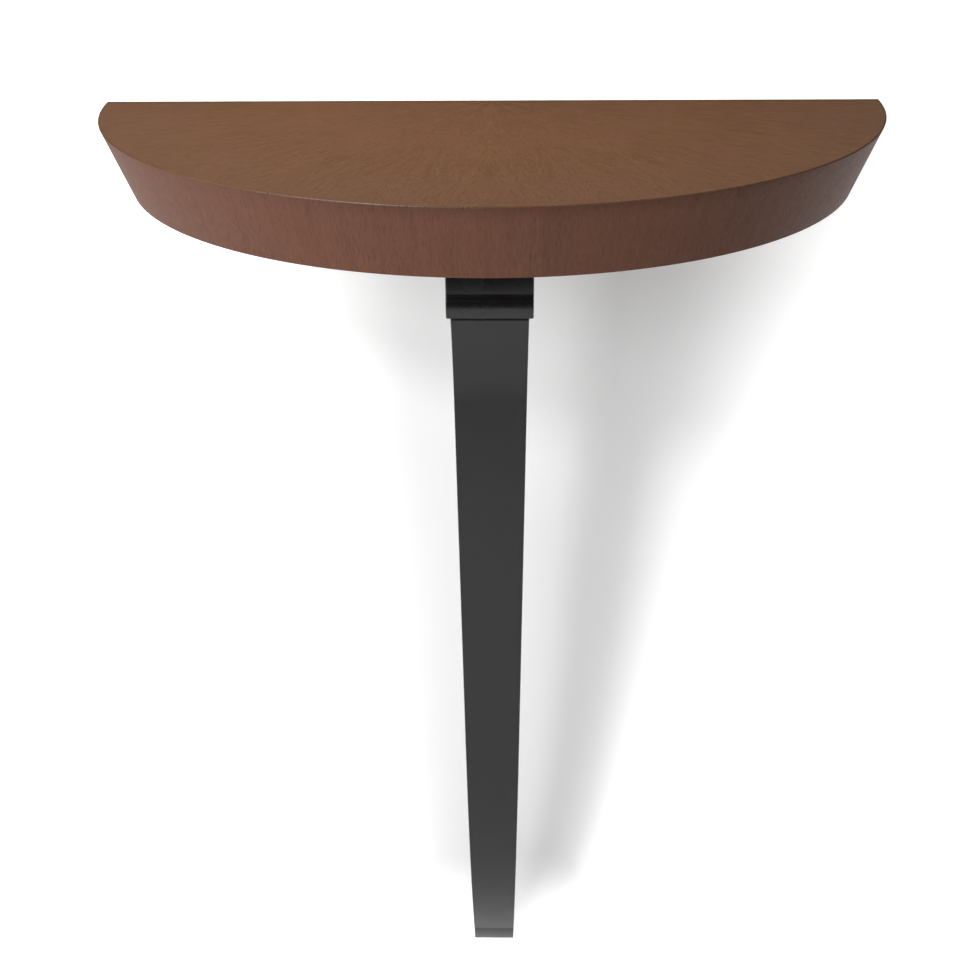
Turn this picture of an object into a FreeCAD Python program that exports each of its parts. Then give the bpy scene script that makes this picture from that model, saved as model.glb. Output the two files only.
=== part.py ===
# Wall console table: a half-round, bevel-edged wood top that hangs on a wall cleat, with a moulded cap
# block and one tapered, bent steel leg that sweeps back to the wall.
# Frame: millimetres, +Z up, the wall is the plane Y = 0, the table stands out towards -Y.
# The origin is on the wall, midway between the two screw holes of the wall cleat.
import FreeCAD, Part
import math
import os
import Sketcher

VECTOR = FreeCAD.Vector
UP = VECTOR(0, 0, 1)

SIZES = {
    # top
    "top_radius": 305.0,            # upper edge of the half-round top, a 24 in by 12 in top
    "top_thickness": 53.0,          # whole depth of the edge
    "bevel_inset": 21.2,            # how far the lower edge stands in from the upper edge
    "screws_to_top": 46.0,          # height of the top above the wall screws
    "leaf_thickness": 0.8,          # fan of veneer on the top
    "leaf_count": 12.0,
    "edge_veneer_thickness": 0.8,   # veneer round the edge, measured level
    "panel_thickness": 18.0,
    "apron_thickness": 16.0,
    "segment_count": 6.0,
    "bottom_panel_thickness": 6.0,
    "glue_gap": 0.3,                # play left round a piece that is dropped into place
    # frame inside the top
    "back_rail_thickness": 18.0,
    "rib_thickness": 18.0,
    "leg_block_length": 95.0,       # from front to back
    "leg_block_width": 110.0,
    "leg_block_ahead": 16.0,        # its front face ahead of the cap's
    "corner_block_width": 36.0,
    "corner_block_depth": 22.0,
    # hanging rail and wall cleat
    "cleat_end_gap": 41.11,         # from the apron to each end
    "cleat_thickness": 12.0,
    "cleat_rise": 8.0,              # how much the hooked bevel climbs across the thickness
    "cleat_hook_height": 26.0,      # front of the wall cleat's bevel, above the underside of the top
    "wall_gap": 0.4,                # hanging rail stands clear of the wall
    "wall_hole_margin": 21.8,       # from the cleat's end, which leaves 406.4 mm between two studs
    "wall_hole_radius": 2.75,
    # cap block
    "cap_width": 63.4,
    "cap_depth": 67.0,
    "cap_height": 63.0,
    "cap_setback": 94.8,            # bead face behind the lower rim of the top
    "cap_top_band": 23.0,           # plain band under the top
    "cap_quirk_depth": 2.2,         # groove above the bead, behind the bead face
    "cap_bead_radius": 6.0,         # from the groove out to the bead face
    "cap_bead_height": 12.0,        # bead face above the underside of the cap
    "cap_under_radius": 20.0,       # from the bead face back to the underside
    # leg
    "leg_thickness": 6.0,
    "leg_top_width": 57.0,
    "leg_foot_width": 39.0,
    "leg_corner_behind": 4.5,       # where flange top and front face would meet, behind the bead
    "leg_corner_round": 1.5,        # outside of the welded and ground top corner
    "leg_flange_length": 62.0,      # from that corner back to the flange end
    "leg_bend_radius": 3.0,         # inside the top corner
    "leg_neck_length": 6.0,         # straight stretch of the back face below that corner
    "leg_top_lean": 24.0,           # degrees from upright at the cap
    "leg_flare_radius": 200.0,      # front face, from the cap lean to the middle lean
    "leg_middle_lean": 7.0,         # degrees from upright in the middle
    "leg_straight_length": 340.0,
    "leg_foot_bend_radius": 4.0,    # front face, where the sweep meets the tongue
    "leg_tongue_length": 12.0,      # upright tongue at the foot
    "leg_drop": 845.0,              # foot end below the top
    "foot_pad_thickness": 2.0,
    "foot_pad_margin": 2.5,         # pad edge in from the tongue's edges
    # fixings
    "bolt_radius": 3.0,
    "bolt_clearance": 0.3,
    "bolt_row_spacing": 28.0,       # front to back
    "bolt_column_spacing": 34.0,    # side to side
    "bolt_front_margin": 26.0,      # front row behind the bead face
    "bolt_grip_in_insert": 14.0,
    "bolt_head_radius": 5.5,
    "bolt_head_height": 3.3,
    "bolt_socket_radius": 2.3,
    "bolt_socket_depth": 2.0,
    "insert_radius": 4.5,
    "insert_length": 15.0,
    "insert_bore_play": 0.05,
    "screw_radius": 1.75,
    "screw_head_radius": 3.5,
    "screw_length": 24.0,
    "screw_spacing": 150.0,
    "overrun": 5.0,                 # how far a cutting shape passes the face it cuts
}


class Size:
    """A number with the sheet formula that gives it, so that one sum serves both."""

    def __init__(self, value, formula):
        self.value = float(value)
        self.formula = formula

    def __add__(self, other):
        other = as_size(other)
        return Size(self.value + other.value, "(%s + %s)" % (self.formula, other.formula))

    def __sub__(self, other):
        other = as_size(other)
        return Size(self.value - other.value, "(%s - %s)" % (self.formula, other.formula))

    def __mul__(self, other):
        other = as_size(other)
        return Size(self.value * other.value, "%s * %s" % (self.formula, other.formula))

    def __truediv__(self, other):
        other = as_size(other)
        return Size(self.value / other.value, "%s / (%s)" % (self.formula, other.formula))

    def __neg__(self):
        return Size(-self.value, "(0 - %s)" % self.formula)


def as_size(number):
    return number if isinstance(number, Size) else Size(number, repr(number))


def root(square):
    return Size(math.sqrt(square.value), "sqrt(%s)" % square.formula)


doc = FreeCAD.newDocument("wall_console_table")
sheet = doc.addObject("Spreadsheet::Sheet", "sizes")
for row, (alias, number) in enumerate(SIZES.items(), start=1):
    sheet.set("A%d" % row, alias)
    sheet.set("B%d" % row, repr(number))
    sheet.setAlias("B%d" % row, alias)
doc.recompute()


def size(alias):
    return Size(SIZES[alias], "sizes." + alias)


def sine(angle):
    return Size(math.sin(math.radians(angle.value)), "sin(%s * 1 deg)" % angle.formula)


def cosine(angle):
    return Size(math.cos(math.radians(angle.value)), "cos(%s * 1 deg)" % angle.formula)


def tangent(angle):
    return Size(math.tan(math.radians(angle.value)), "tan(%s * 1 deg)" % angle.formula)


ZERO = Size(0, "0")
FULL_TURN = Size(360, "360")
HALF_TURN = FULL_TURN / 2
QUARTER_TURN = FULL_TURN / 4

# heights, all from the wall screws
top_z = size("screws_to_top")
underside_z = top_z - size("top_thickness")
leaf_z = top_z - size("leaf_thickness")
panel_z = leaf_z - size("panel_thickness")
bottom_panel_z = underside_z + size("bottom_panel_thickness")
cap_z = underside_z - size("cap_height")
foot_z = top_z - size("leg_drop")


def edge_radius(level):
    """Radius of the bevelled edge at a height."""
    return size("top_radius") - (top_z - level) * size("bevel_inset") / size("top_thickness")


def core_radius(level):
    return edge_radius(level) - size("edge_veneer_thickness")


def apron_radius(level):
    return core_radius(level) - size("glue_gap")


def inner_radius(level):
    return apron_radius(level) - size("apron_thickness")


def clear_radius(level):
    return inner_radius(level) - size("glue_gap")


def reach(radius, aside):
    """How far a circle of this radius reaches forward, at a distance to one side of its centre."""
    return root(radius * radius - aside * aside)


def bind(made, name, amount):
    made.setExpression(name, as_size(amount).formula)


def new_body(label):
    made = doc.addObject("PartDesign::Body", label)
    made.Label = label
    return made


def new_sketch(made, role, offset=ZERO):
    """Makes a sketch on one of the body's own origin planes, moved along the plane's normal."""
    sketch = made.newObject("Sketcher::SketchObject", made.Label + "_sketch")
    plane = next(feature for feature in made.Origin.OriginFeatures if feature.Role == role)
    sketch.AttachmentSupport = (plane, "")
    sketch.MapMode = "FlatFace"
    sketch.AttachmentOffset = FreeCAD.Placement(VECTOR(0, 0, offset.value), FreeCAD.Rotation())
    if offset.value:
        bind(sketch, "AttachmentOffset.Base.z", offset)
    return sketch


def constrain(sketch, kind, *target, amount=None):
    """Adds one constraint, and its formula where it has an amount."""
    if amount is None:
        return sketch.addConstraint(Sketcher.Constraint(kind, *target))
    index = sketch.addConstraint(Sketcher.Constraint(kind, *target, amount.value))
    bind(sketch, "Constraints[%d]" % index, amount)
    return index


def hold(sketch, edge, end, x, y):
    """Ties one end of an edge to both axes of the sketch."""
    for kind, place, axis in (("DistanceX", x, -2), ("DistanceY", y, -1)):
        if place.value == 0:
            constrain(sketch, "PointOnObject", edge, end, axis)
        elif place.value > 0:
            constrain(sketch, kind, -1, 1, edge, end, amount=place)
        else:
            constrain(sketch, kind, edge, end, -1, 1, amount=-place)


def outline(sketch, corners, rounds=None):
    """Draws a closed outline through the corners.

    rounds gives, by the number of an edge, the centre and radius of its arc and whether it turns
    clockwise. The other edges are straight.
    """
    rounds = rounds or {}
    ends = []
    for number, (x, y) in enumerate(corners):
        next_x, next_y = corners[(number + 1) % len(corners)]
        start = VECTOR(x.value, y.value, 0)
        finish = VECTOR(next_x.value, next_y.value, 0)
        if number not in rounds:
            ends.append((sketch.addGeometry(Part.LineSegment(start, finish)), 1, 2))
            continue
        (centre_x, centre_y), radius, clockwise = rounds[number]
        centre = VECTOR(centre_x.value, centre_y.value, 0)
        if clockwise:
            start, finish = finish, start
        first = math.atan2(start.y - centre.y, start.x - centre.x)
        last = math.atan2(finish.y - centre.y, finish.x - centre.x)
        if last < first:
            last += math.radians(FULL_TURN.value)
        arc = sketch.addGeometry(Part.ArcOfCircle(Part.Circle(centre, UP, radius.value), first, last))
        ends.append((arc, 2, 1) if clockwise else (arc, 1, 2))
        constrain(sketch, "Radius", arc, amount=radius)
    for number, (edge, start_end, finish_end) in enumerate(ends):
        before, _, before_end = ends[number - 1]
        constrain(sketch, "Coincident", before, before_end, edge, start_end)
        hold(sketch, edge, start_end, *corners[number])


def circles(sketch, centres, radius):
    for x, y in centres:
        circle = sketch.addGeometry(Part.Circle(VECTOR(x.value, y.value, 0), UP, radius.value))
        constrain(sketch, "Radius", circle, amount=radius)
        hold(sketch, circle, 3, x, y)


def pad(made, sketch, length, symmetric=False):
    """Pads along the sketch's normal, or to both sides alike."""
    padded = made.newObject("PartDesign::Pad", made.Label + "_pad")
    padded.Profile = sketch
    padded.SideType = "Symmetric" if symmetric else "One side"
    bind(padded, "Length", length)
    return padded


def drill(made, role, offset, centres, radius, depth, taper=None):
    """Cuts round holes along a plane's normal into the body, straight or tapering to a countersink."""
    doc.recompute()
    volume = made.Shape.Volume
    sketch = new_sketch(made, role, offset)
    circles(sketch, centres, radius)
    cut = made.newObject("PartDesign::Pocket", made.Label + "_holes")
    cut.Profile = sketch
    cut.Reversed = True
    bind(cut, "Length", depth)
    if taper is not None:
        bind(cut, "TaperAngle", taper)
    doc.recompute()
    if not made.Shape.Volume < volume:
        raise ValueError("the holes miss " + made.Label)


def turn_about_z(made, angle):
    made.Placement = FreeCAD.Placement(VECTOR(), FreeCAD.Rotation(UP, angle.value))
    bind(made, "Placement.Rotation.Angle", angle)


def revolved(label, section, start, sweep):
    """Revolves a section, drawn as radius and height, from a start angle over a sweep."""
    made = new_body(label)
    sketch = new_sketch(made, "XZ_Plane")
    outline(sketch, section)
    turned = made.newObject("PartDesign::Revolution", label + "_revolution")
    turned.Profile = sketch
    turned.ReferenceAxis = (sketch, ["V_Axis"])
    bind(turned, "Angle", sweep)
    turn_about_z(made, start)
    return made


def grouped(label, shape, places):
    """Stands copies of one fastener at several placements as separate solids of one node."""
    made = doc.addObject("Part::Feature", label)
    made.Label = label
    copies = []
    for place in places:
        copy = shape.copy()
        copy.Placement = place
        copies.append(copy)
    made.Shape = Part.makeCompound(copies)
    return made


# Top: a core panel with a fan of veneer wedges that meet at the middle of the back edge.
subparts = []
subparts.append(revolved("top_panel", [
    (ZERO, panel_z),
    (core_radius(panel_z), panel_z),
    (core_radius(leaf_z), leaf_z),
    (ZERO, leaf_z)], HALF_TURN, HALF_TURN))

leaf_section = [
    (ZERO, leaf_z),
    (edge_radius(leaf_z), leaf_z),
    (size("top_radius"), top_z),
    (ZERO, top_z)]
leaf_sweep = HALF_TURN / size("leaf_count")
for number in range(int(SIZES["leaf_count"])):
    start = HALF_TURN + leaf_sweep * number
    subparts.append(revolved("top_veneer_leaf_%02d" % (number + 1), leaf_section, start, leaf_sweep))

# Edge: a bevelled apron of sawn segments, and four sheets of upright-grain veneer over apron and panel.
apron_section = [
    (inner_radius(underside_z), underside_z),
    (apron_radius(underside_z), underside_z),
    (apron_radius(panel_z), panel_z),
    (inner_radius(panel_z), panel_z)]
segment_sweep = HALF_TURN / size("segment_count")
for number in range(int(SIZES["segment_count"])):
    start = HALF_TURN + segment_sweep * number
    subparts.append(revolved("apron_segment_%d" % (number + 1), apron_section, start, segment_sweep))

edge_section = [
    (core_radius(underside_z), underside_z),
    (edge_radius(underside_z), underside_z),
    (edge_radius(leaf_z), leaf_z),
    (core_radius(leaf_z), leaf_z)]
edge_joint_shares = (0, 0.276, 0.537, 0.798, 1)
for number, share in enumerate(edge_joint_shares[:-1]):
    sweep = HALF_TURN * (edge_joint_shares[number + 1] - share)
    start = HALF_TURN + HALF_TURN * share
    subparts.append(revolved("edge_veneer_%d" % (number + 1), edge_section, start, sweep))

# Frame inside the top: a back rail, two ribs with the leg block between them, and corner blocks.
rail_back = size("cleat_thickness") + size("wall_gap")
rail_front = rail_back + size("back_rail_thickness")
screw_play_radius = size("screw_radius") + size("insert_bore_play")
hanging_screw_z = (panel_z + underside_z + size("cleat_hook_height")) / 2
cleat_length = (reach(clear_radius(underside_z), rail_back) - size("cleat_end_gap")) * 2
hanging_screw_count = int(cleat_length.value / SIZES["screw_spacing"])
hanging_screw_places = []
for number in range(hanging_screw_count):
    from_middle = size("screw_spacing") * (number - (hanging_screw_count - 1) / 2)
    hanging_screw_places.append((from_middle, hanging_screw_z))

back_rail = new_body("back_rail")
sketch = new_sketch(back_rail, "XZ_Plane", rail_back)
rail_bottom_half = reach(clear_radius(underside_z), rail_front)
rail_top_half = reach(clear_radius(panel_z), rail_front)
outline(sketch, [
    (-rail_bottom_half, underside_z),
    (rail_bottom_half, underside_z),
    (rail_top_half, panel_z),
    (-rail_top_half, panel_z)])
pad(back_rail, sketch, size("back_rail_thickness"))
pilot_depth = size("screw_length") - size("cleat_thickness")
drill(back_rail, "XZ_Plane", rail_back, hanging_screw_places, screw_play_radius, pilot_depth)
subparts.append(back_rail)

rib_middle = (size("leg_block_width") + size("rib_thickness")) / 2
rib_outside = rib_middle + size("rib_thickness") / 2
rib_back = rail_front + size("glue_gap")
rib_bottom_front = reach(clear_radius(bottom_panel_z), rib_outside)
rib_top_front = reach(clear_radius(panel_z), rib_outside)
for label, side in (("rib_left", -1), ("rib_right", 1)):
    rib = new_body(label)
    sketch = new_sketch(rib, "YZ_Plane", rib_middle * side)
    outline(sketch, [
        (-rib_back, bottom_panel_z),
        (-rib_back, panel_z),
        (-rib_top_front, panel_z),
        (-rib_bottom_front, bottom_panel_z)])
    pad(rib, sketch, size("rib_thickness"), symmetric=True)
    subparts.append(rib)

cap_front = edge_radius(underside_z) - size("cap_setback")
front_row = cap_front - size("bolt_front_margin")
bolt_places = []
for row in (front_row - size("bolt_row_spacing"), front_row):
    for side in (-1, 1):
        bolt_places.append((size("bolt_column_spacing") / 2 * side, -row))
insert_play_radius = size("insert_radius") + size("insert_bore_play")
leg_block = new_body("leg_block")
sketch = new_sketch(leg_block, "XY_Plane", bottom_panel_z)
block_front = cap_front + size("leg_block_ahead")
block_back = block_front - size("leg_block_length")
block_half = size("leg_block_width") / 2
outline(sketch, [
    (-block_half, -block_front),
    (block_half, -block_front),
    (block_half, -block_back),
    (-block_half, -block_back)])
pad(leg_block, sketch, panel_z - bottom_panel_z)
drill(leg_block, "XY_Plane", bottom_panel_z, bolt_places, insert_play_radius, size("insert_length"))
subparts.append(leg_block)

block_inside = clear_radius(bottom_panel_z) - size("corner_block_depth")
corner_block_aside = size("corner_block_width") / 2
for number in range(1, int(SIZES["segment_count"])):
    block = new_body("corner_block_%d" % number)
    sketch = new_sketch(block, "XZ_Plane")
    outline(sketch, [
        (block_inside, bottom_panel_z),
        (reach(clear_radius(bottom_panel_z), corner_block_aside), bottom_panel_z),
        (reach(clear_radius(panel_z), corner_block_aside), panel_z),
        (block_inside, panel_z)])
    pad(block, sketch, size("corner_block_width"), symmetric=True)
    turn_about_z(block, HALF_TURN + segment_sweep * number)
    subparts.append(block)

# Bottom panel: set flush inside the apron, glued to ribs and corner blocks, drilled for the leg bolts.
bottom_panel = new_body("bottom_panel")
sketch = new_sketch(bottom_panel, "XY_Plane", underside_z)
panel_radius = clear_radius(underside_z)
panel_back = rail_front + size("glue_gap")
panel_half = reach(panel_radius, panel_back)
outline(sketch, [(panel_half, -panel_back), (-panel_half, -panel_back)],
        {1: ((ZERO, ZERO), panel_radius, False)})
pad(bottom_panel, sketch, size("bottom_panel_thickness"))
bolt_hole_radius = size("bolt_radius") + size("bolt_clearance")
through_panel = size("bottom_panel_thickness") + size("overrun")
drill(bottom_panel, "XY_Plane", underside_z, bolt_places, bolt_hole_radius, through_panel)
subparts.append(bottom_panel)

# Hanging rail and wall cleat: two strips whose bevels hook into each other behind the back rail.
hook_front_z = underside_z + size("cleat_hook_height")
hook_slope = size("cleat_rise") / size("cleat_thickness")


def hook_z(from_wall):
    """Height of the shared bevel at a distance from the wall."""
    return hook_front_z - (size("cleat_thickness") - from_wall) * hook_slope


hanging_rail = new_body("hanging_rail")
sketch = new_sketch(hanging_rail, "YZ_Plane")
outline(sketch, [
    (-size("wall_gap"), hook_z(size("wall_gap"))),
    (-size("wall_gap"), panel_z),
    (-rail_back, panel_z),
    (-rail_back, hook_z(rail_back))])
pad(hanging_rail, sketch, cleat_length, symmetric=True)
through_rail = size("cleat_thickness") + size("overrun")
head_play_radius = size("screw_head_radius") + size("insert_bore_play")
countersink_depth = head_play_radius - screw_play_radius
countersink_taper = -QUARTER_TURN / 2
drill(hanging_rail, "XZ_Plane", size("wall_gap"), hanging_screw_places, screw_play_radius, through_rail)
drill(hanging_rail, "XZ_Plane", size("wall_gap"), hanging_screw_places, head_play_radius,
      countersink_depth, countersink_taper)
subparts.append(hanging_rail)

wall_cleat = new_body("wall_cleat")
sketch = new_sketch(wall_cleat, "YZ_Plane")
outline(sketch, [
    (ZERO, underside_z),
    (ZERO, hook_z(ZERO)),
    (-size("cleat_thickness"), hook_front_z),
    (-size("cleat_thickness"), underside_z)])
pad(wall_cleat, sketch, cleat_length, symmetric=True)
wall_hole_places = [((cleat_length / 2 - size("wall_hole_margin")) * side, ZERO) for side in (-1, 1)]
drill(wall_cleat, "XZ_Plane", ZERO, wall_hole_places, size("wall_hole_radius"), through_rail)
subparts.append(wall_cleat)

# Cap block: a plain band that falls back in a slow round to a groove, and a bead that rounds out of the
# groove and away under it, shaped along the width and square at the sides. The leg bolts pass through.
band_z = underside_z - size("cap_top_band")
groove = cap_front - size("cap_quirk_depth")
bead_z = cap_z + size("cap_bead_height")
bead_centre = cap_front - size("cap_bead_radius")
groove_z = bead_z + reach(size("cap_bead_radius"), groove - bead_centre)
fall_height = band_z - groove_z
fall_depth = size("cap_quirk_depth")
fall_radius = (fall_height * fall_height + fall_depth * fall_depth) / (fall_depth * 2)
under_centre = cap_front - size("cap_under_radius")
under_front = under_centre + reach(size("cap_under_radius"), size("cap_bead_height"))
cap_back = cap_front - size("cap_depth")
leg_cap = new_body("leg_cap")
sketch = new_sketch(leg_cap, "YZ_Plane")
outline(sketch, [
    (-cap_back, underside_z),
    (-cap_front, underside_z),
    (-cap_front, band_z),
    (-groove, groove_z),
    (-cap_front, bead_z),
    (-under_front, cap_z),
    (-cap_back, cap_z)], {
        2: ((-(cap_front - fall_radius), band_z), fall_radius, False),
        3: ((-bead_centre, bead_z), size("cap_bead_radius"), False),
        4: ((-under_centre, bead_z), size("cap_under_radius"), False)})
pad(leg_cap, sketch, size("cap_width"), symmetric=True)
through_cap = size("cap_height") + size("overrun")
drill(leg_cap, "XY_Plane", cap_z, bolt_places, bolt_hole_radius, through_cap)
subparts.append(leg_cap)


# Leg: one strap, bent to a flange at the top, an S in the middle and an upright tongue at the foot.
def sweep_to_wall(start, finish, lean, foot_radius):
    """Radius and final lean of the arc that leaves start at a lean and meets the upright foot bend."""
    back = finish[0] - start[0] - foot_radius * (1 - math.cos(lean))
    down = start[1] - finish[1] - foot_radius * math.sin(lean)
    final_lean = 2 * math.atan2(back, down) - lean
    radius = down / (math.sin(final_lean) - math.sin(lean)) - foot_radius
    return radius, final_lean


def walk(sketch, place, heading, steps):
    """Draws lines and arcs in one smooth run, each a length, or a radius and a left turn.

    Returns each edge with the numbers of its first and last end, and where the run ends.
    """
    x, y = place
    edges = []
    for step in steps:
        if len(step) == 1:
            next_x = x + step[0] * math.cos(heading)
            next_y = y + step[0] * math.sin(heading)
            line = Part.LineSegment(VECTOR(x, y, 0), VECTOR(next_x, next_y, 0))
            edges.append((sketch.addGeometry(line), 1, 2))
        else:
            radius, left_turn = step
            side = math.copysign(math.radians(QUARTER_TURN.value), left_turn)
            centre = VECTOR(x + radius * math.cos(heading + side), y + radius * math.sin(heading + side), 0)
            first = heading - side
            last = first + left_turn
            arc = Part.ArcOfCircle(Part.Circle(centre, UP, radius), min(first, last), max(first, last))
            edges.append((sketch.addGeometry(arc), 1, 2) if left_turn > 0 else (sketch.addGeometry(arc), 2, 1))
            next_x = centre.x + radius * math.cos(last)
            next_y = centre.y + radius * math.sin(last)
            heading += left_turn
        x, y = next_x, next_y
    for number in range(1, len(edges)):
        before, _, before_end = edges[number - 1]
        edge, edge_end, _ = edges[number]
        constrain(sketch, "Tangent", before, before_end, edge, edge_end)
    return edges, (x, y)


thickness = size("leg_thickness")
bend_outside = size("leg_bend_radius") + thickness
half_corner = tangent((QUARTER_TURN + size("leg_top_lean")) / 2)
flange_flat = size("leg_flange_length") - bend_outside * half_corner
corner_flat = size("leg_flange_length") - size("leg_corner_round") * half_corner
neck_front = size("leg_neck_length") + corner_flat - flange_flat
flange_back = cap_front - size("leg_corner_behind") - size("leg_flange_length")
tongue_face = thickness + size("foot_pad_thickness")
tongue_z = foot_z + size("leg_tongue_length")
top_lean = math.radians(SIZES["leg_top_lean"])
middle_lean = math.radians(SIZES["leg_middle_lean"])
half_turn = math.radians(HALF_TURN.value)
quarter_turn = math.radians(QUARTER_TURN.value)
upper_steps = [
    (corner_flat.value,),
    (SIZES["leg_corner_round"], quarter_turn + top_lean),
    (neck_front.value,),
    (SIZES["leg_flare_radius"], middle_lean - top_lean),
    (SIZES["leg_straight_length"],)]

leg = new_body("leg")
trial = new_sketch(leg, "YZ_Plane")
_, straight_end = walk(trial, (-flange_back.value, cap_z.value), half_turn, upper_steps)
leg.removeObject(trial)
doc.removeObject(trial.Name)
sweep_radius, final_lean = sweep_to_wall(
    straight_end, (-tongue_face.value, tongue_z.value), middle_lean, SIZES["leg_foot_bend_radius"])
front_steps = upper_steps + [
    (sweep_radius, final_lean - middle_lean),
    (SIZES["leg_foot_bend_radius"], -final_lean),
    (SIZES["leg_tongue_length"],)]
back_steps = [
    (flange_flat.value,),
    (SIZES["leg_bend_radius"], quarter_turn + top_lean),
    (SIZES["leg_neck_length"],)]
for step in front_steps[len(back_steps):]:
    if len(step) == 1:
        back_steps.append(step)
    else:
        back_steps.append((step[0] - math.copysign(thickness.value, step[1]), step[1]))

sketch = new_sketch(leg, "YZ_Plane")
front, _ = walk(sketch, (-flange_back.value, cap_z.value), half_turn, front_steps)
back, _ = walk(sketch, (-flange_back.value, (cap_z - thickness).value), half_turn, back_steps)
flange, top_bend, neck, flare, straight, sweep, foot_bend, tongue = front
hold(sketch, flange[0], 1, -flange_back, cap_z)
constrain(sketch, "Horizontal", flange[0])
constrain(sketch, "DistanceX", flange[0], 2, flange[0], 1, amount=corner_flat)
constrain(sketch, "Radius", top_bend[0], amount=size("leg_corner_round"))
constrain(sketch, "DistanceX", back[0][0], 2, back[0][0], 1, amount=flange_flat)
constrain(sketch, "Radius", back[1][0], amount=size("leg_bend_radius"))
for line, length, lean in (
        (neck[0], neck_front, size("leg_top_lean")),
        (straight[0], size("leg_straight_length"), size("leg_middle_lean"))):
    constrain(sketch, "DistanceX", line, 1, line, 2, amount=length * sine(lean))
    constrain(sketch, "DistanceY", line, 2, line, 1, amount=length * cosine(lean))
constrain(sketch, "Radius", flare[0], amount=size("leg_flare_radius"))
constrain(sketch, "Radius", foot_bend[0], amount=size("leg_foot_bend_radius"))
constrain(sketch, "Vertical", tongue[0])
constrain(sketch, "DistanceY", tongue[0], 2, tongue[0], 1, amount=size("leg_tongue_length"))
hold(sketch, tongue[0], 2, -tongue_face, foot_z)
for number in (3, 5, 6):
    constrain(sketch, "Coincident", front[number][0], 3, back[number][0], 3)
for number in (2, 4):
    constrain(sketch, "Parallel", front[number][0], back[number][0])
constrain(sketch, "Horizontal", back[0][0])
constrain(sketch, "Vertical", back[-1][0])
flange_end = sketch.addGeometry(Part.LineSegment(
    VECTOR(-flange_back.value, cap_z.value, 0), VECTOR(-flange_back.value, (cap_z - thickness).value, 0)))
tongue_end = sketch.addGeometry(Part.LineSegment(
    VECTOR(-tongue_face.value, foot_z.value, 0), VECTOR((thickness - tongue_face).value, foot_z.value, 0)))
constrain(sketch, "Coincident", flange_end, 1, flange[0], 1)
constrain(sketch, "Coincident", flange_end, 2, back[0][0], 1)
constrain(sketch, "Vertical", flange_end)
constrain(sketch, "DistanceY", flange_end, 2, flange_end, 1, amount=thickness)
constrain(sketch, "Coincident", tongue_end, 1, tongue[0], 2)
constrain(sketch, "Coincident", tongue_end, 2, back[-1][0], 2)
constrain(sketch, "Horizontal", tongue_end)
pad(leg, sketch, size("leg_top_width"), symmetric=True)
doc.recompute()
full_volume = leg.Shape.Volume

# The strap tapers evenly from the cap to the foot, so both sides are cut away in the front view.
over = size("overrun")
top_half = size("leg_top_width") / 2
taper_slope = (top_half - size("leg_foot_width") / 2) / (cap_z - foot_z)
taper_sketch = new_sketch(leg, "XZ_Plane")
for side in (1, -1):
    foot_end = top_half - (cap_z - foot_z + over) * taper_slope
    cap_end = top_half + over * taper_slope
    outline(taper_sketch, [
        (cap_end * side, cap_z + over),
        (foot_end * side, foot_z - over),
        ((top_half + over) * side, foot_z - over),
        ((top_half + over) * side, cap_z + over)])
taper = leg.newObject("PartDesign::Pocket", "leg_taper")
taper.Profile = taper_sketch
taper.Type = "ThroughAll"
taper.Reversed = True
doc.recompute()
if not leg.Shape.Volume < full_volume:
    raise ValueError("the taper misses the leg")
flange_hole_z = cap_z - thickness - over
drill(leg, "XY_Plane", flange_hole_z, bolt_places, bolt_hole_radius, thickness + over)
subparts.append(leg)

foot_pad = new_body("foot_pad")
sketch = new_sketch(foot_pad, "XZ_Plane")
pad_half = size("leg_foot_width") / 2 - size("foot_pad_margin")
outline(sketch, [
    (-pad_half, foot_z + size("foot_pad_margin")),
    (pad_half, foot_z + size("foot_pad_margin")),
    (pad_half, tongue_z),
    (-pad_half, tongue_z)])
pad(foot_pad, sketch, size("foot_pad_thickness"))
subparts.append(foot_pad)


# Fixings: each group is one node of separate solids.
def turned_blank(profile):
    """Revolves a profile of radius and height about the upright axis."""
    corners = [VECTOR(radius, 0, height) for radius, height in profile]
    face = Part.Face(Part.makePolygon(corners + corners[:1]))
    return face.revolve(VECTOR(), UP, FULL_TURN.value)


head, shank, length = SIZES["screw_head_radius"], SIZES["screw_radius"], SIZES["screw_length"]
screw = turned_blank([(0, 0), (head, 0), (shank, head - shank), (shank, length - shank * 2), (0, length)])
point_forward = FreeCAD.Rotation(UP, VECTOR(0, -1, 0))
rail_places = []
for x, z in hanging_screw_places:
    rail_places.append(FreeCAD.Placement(VECTOR(x.value, -SIZES["wall_gap"], z.value), point_forward))
subparts.append(grouped("hanging_rail_screws", screw, rail_places))

bolt_seat_z = cap_z - thickness
bolt_reach = bottom_panel_z + size("bolt_grip_in_insert") - bolt_seat_z
head_radius, head_height = SIZES["bolt_head_radius"], SIZES["bolt_head_height"]
bolt_crown_share = 0.6
bolt = turned_blank([
    (0, -head_height),
    (head_radius * bolt_crown_share, -head_height),
    (head_radius, 0),
    (SIZES["bolt_radius"], 0),
    (SIZES["bolt_radius"], bolt_reach.value),
    (0, bolt_reach.value)])
socket = Part.Face(Part.makePolygon([
    VECTOR(SIZES["bolt_socket_radius"] * math.cos(corner * quarter_turn * 2 / 3),
           SIZES["bolt_socket_radius"] * math.sin(corner * quarter_turn * 2 / 3),
           -head_height) for corner in range(7)]))
bolt = bolt.cut(socket.extrude(VECTOR(0, 0, SIZES["bolt_socket_depth"])))
seats = []
insert_places = []
for x, y in bolt_places:
    seats.append(FreeCAD.Placement(VECTOR(x.value, y.value, bolt_seat_z.value), FreeCAD.Rotation()))
    insert_places.append(FreeCAD.Placement(VECTOR(x.value, y.value, bottom_panel_z.value), FreeCAD.Rotation()))
subparts.append(grouped("leg_bolts", bolt, seats))

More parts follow.
